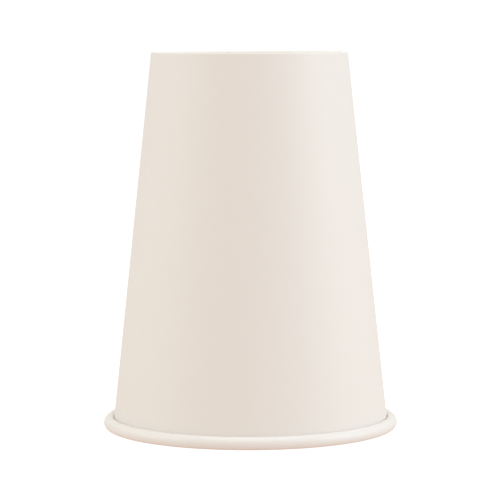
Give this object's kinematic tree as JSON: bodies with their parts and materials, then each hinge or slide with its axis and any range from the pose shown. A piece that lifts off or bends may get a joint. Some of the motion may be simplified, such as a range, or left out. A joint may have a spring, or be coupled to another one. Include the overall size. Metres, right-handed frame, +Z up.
{
  "type": "paper cup",
  "caption": "Tapered single wall paper cup with a rolled lip, a lapped side seam and a recessed base, standing mouth down.",
  "frame": {"origin": "centre of the mouth, on the plane that the rolled lip rests on", "axes": "+Z up the cup's axis from the mouth to the foot, the side seam at +Y, the side that the picture shows at -Y"},
  "size_m": [0.09, 0.09, 0.1148],
  "materials": {
    "wall_board": "satin coated board, unprinted",
    "base_board": "satin coated board, unprinted"
  },
  "bodies": {
    "root": {"side_wall": "wall_board", "base_disc": "base_board"}
  },
  "joints": []
}
